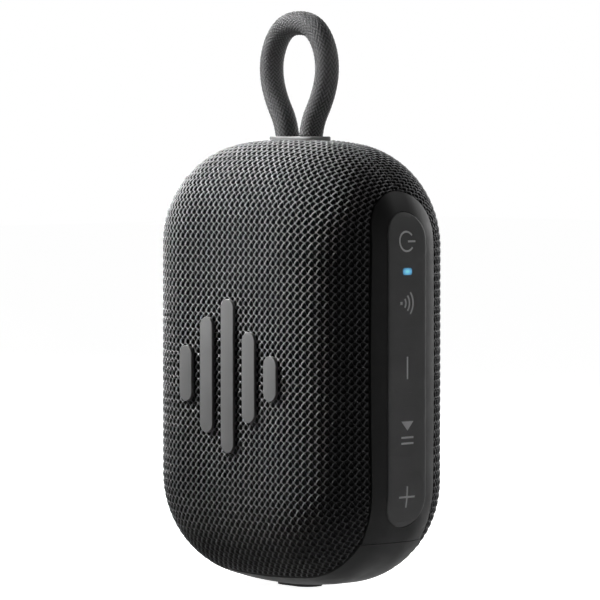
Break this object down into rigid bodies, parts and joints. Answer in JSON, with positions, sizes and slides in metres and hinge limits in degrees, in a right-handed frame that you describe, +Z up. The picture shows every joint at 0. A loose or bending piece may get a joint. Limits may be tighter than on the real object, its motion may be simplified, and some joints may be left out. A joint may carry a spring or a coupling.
{
  "type": "portable shower speaker",
  "caption": "Palm-size waterproof portable speaker with a mesh-covered rounded body, side key strip, rear port flap, foot and top strap loop.",
  "frame": {"origin": "centre of the foot's bottom face, where the speaker stands", "axes": "+Z up through the strap loop, -Y out of the front grille, +X out of the key strip"},
  "size_m": [0.0834, 0.0521, 0.1552],
  "materials": {
    "sleeve_fabric": "dark grey knitted mesh over black",
    "housing_plastic": "matte black moulded plastic",
    "strip_plastic": "fine matte black trim",
    "key_rubber": "soft-touch dark grey rubber",
    "badge_coating": "satin mid grey",
    "strap_braid": "braided grey cord",
    "plate_plastic": "satin light grey plastic",
    "seal_rubber": "black rubber",
    "steel": "plain steel",
    "circuit_board": "green solder mask",
    "chip_black": "black moulded package",
    "lens": "light blue, lit",
    "cell_wrap": "blue shrink wrap",
    "wire_red": "red insulation",
    "wire_black": "black insulation",
    "flex": "amber polyimide",
    "cone_paper": "coated fibre",
    "ferrite": "dark ferrite",
    "copper": "enamelled copper",
    "former": "thin aluminium",
    "spider_cloth": "impregnated cloth",
    "capacitor_can": "plain aluminium"
  },
  "bodies": {
    "speaker_body": {"fabric_sleeve": "sleeve_fabric", "main_housing": "housing_plastic", "front_baffle": "housing_plastic", "housing_gasket": "seal_rubber", "housing_screws": "steel", "front_grille": "housing_plastic", "rear_grille": "housing_plastic", "front_badge": "badge_coating", "control_strip": "strip_plastic", "keypad_panel": "key_rubber", "tact_switches": "chip_black", "key_board": "circuit_board", "key_ribbon": "flex", "led_lens": "lens", "status_led": "lens", "base_cap": "strip_plastic", "foot_pad": "seal_rubber", "strap_plate": "plate_plastic", "strap_anchor": "housing_plastic", "strap_loop": "strap_braid", "port_bezel": "strip_plastic", "flap_pin": "steel", "usb_socket": "steel", "usb_tongue": "chip_black", "main_board": "circuit_board", "amplifier_chip": "chip_black", "radio_module": "steel", "capacitors": "capacitor_can", "battery_cell": "cell_wrap", "battery_cradle": "housing_plastic", "battery_lead_red": "wire_red", "battery_lead_black": "wire_black", "speaker_leads": "wire_black", "driver_gasket": "seal_rubber", "driver_basket": "steel", "driver_screws": "steel", "driver_surround": "seal_rubber", "spider": "spider_cloth", "driver_top_plate": "steel", "driver_magnet": "ferrite", "driver_back_plate": "steel", "radiator_frame": "housing_plastic", "radiator_surround": "seal_rubber"},
    "power_key": {"key_power": "key_rubber", "switch_button_power": "chip_black"},
    "pair_key": {"key_pair": "key_rubber", "switch_button_pair": "chip_black"},
    "minus_key": {"key_minus": "key_rubber", "switch_button_minus": "chip_black"},
    "play_key": {"key_play": "key_rubber", "switch_button_play": "chip_black"},
    "plus_key": {"key_plus": "key_rubber", "switch_button_plus": "chip_black"},
    "driver_moving": {"driver_cone": "cone_paper", "dust_cap": "cone_paper", "voice_coil_former": "former", "voice_coil_winding": "copper"},
    "radiator_moving": {"radiator_plate": "steel"},
    "flap": {"port_flap": "seal_rubber"}
  },
  "joints": [
    {"name": "power_key_press", "type": "slide", "parent": "speaker_body", "child": "power_key", "axis": [-1, 0, 0], "range_m": [0, 0.0004], "stiffness_N_per_m": 3000, "springref_m": -0.0002},
    {"name": "pair_key_press", "type": "slide", "parent": "speaker_body", "child": "pair_key", "axis": [-1, 0, 0], "range_m": [0, 0.0004], "stiffness_N_per_m": 3000, "springref_m": -0.0002},
    {"name": "minus_key_press", "type": "slide", "parent": "speaker_body", "child": "minus_key", "axis": [-1, 0, 0], "range_m": [0, 0.0004], "stiffness_N_per_m": 3000, "springref_m": -0.0002},
    {"name": "play_key_press", "type": "slide", "parent": "speaker_body", "child": "play_key", "axis": [-1, 0, 0], "range_m": [0, 0.0004], "stiffness_N_per_m": 3000, "springref_m": -0.0002},
    {"name": "plus_key_press", "type": "slide", "parent": "speaker_body", "child": "plus_key", "axis": [-1, 0, 0], "range_m": [0, 0.0004], "stiffness_N_per_m": 3000, "springref_m": -0.0002},
    {"name": "driver_excursion", "type": "slide", "parent": "speaker_body", "child": "driver_moving", "axis": [0, -1, 0], "range_m": [-0.0015, 0.0015], "stiffness_N_per_m": 900, "deforming": ["driver_surround", "spider"]},
    {"name": "radiator_excursion", "type": "slide", "parent": "speaker_body", "child": "radiator_moving", "axis": [0, 1, 0], "range_m": [-0.0025, 0.0025], "stiffness_N_per_m": 900, "deforming": ["radiator_surround"]},
    {"name": "flap_hinge", "type": "hinge", "parent": "speaker_body", "child": "flap", "pos_m": [0, 0.02455, 0.0296], "axis": [-1, 0, 0], "range_deg": [0, 90]}
  ]
}
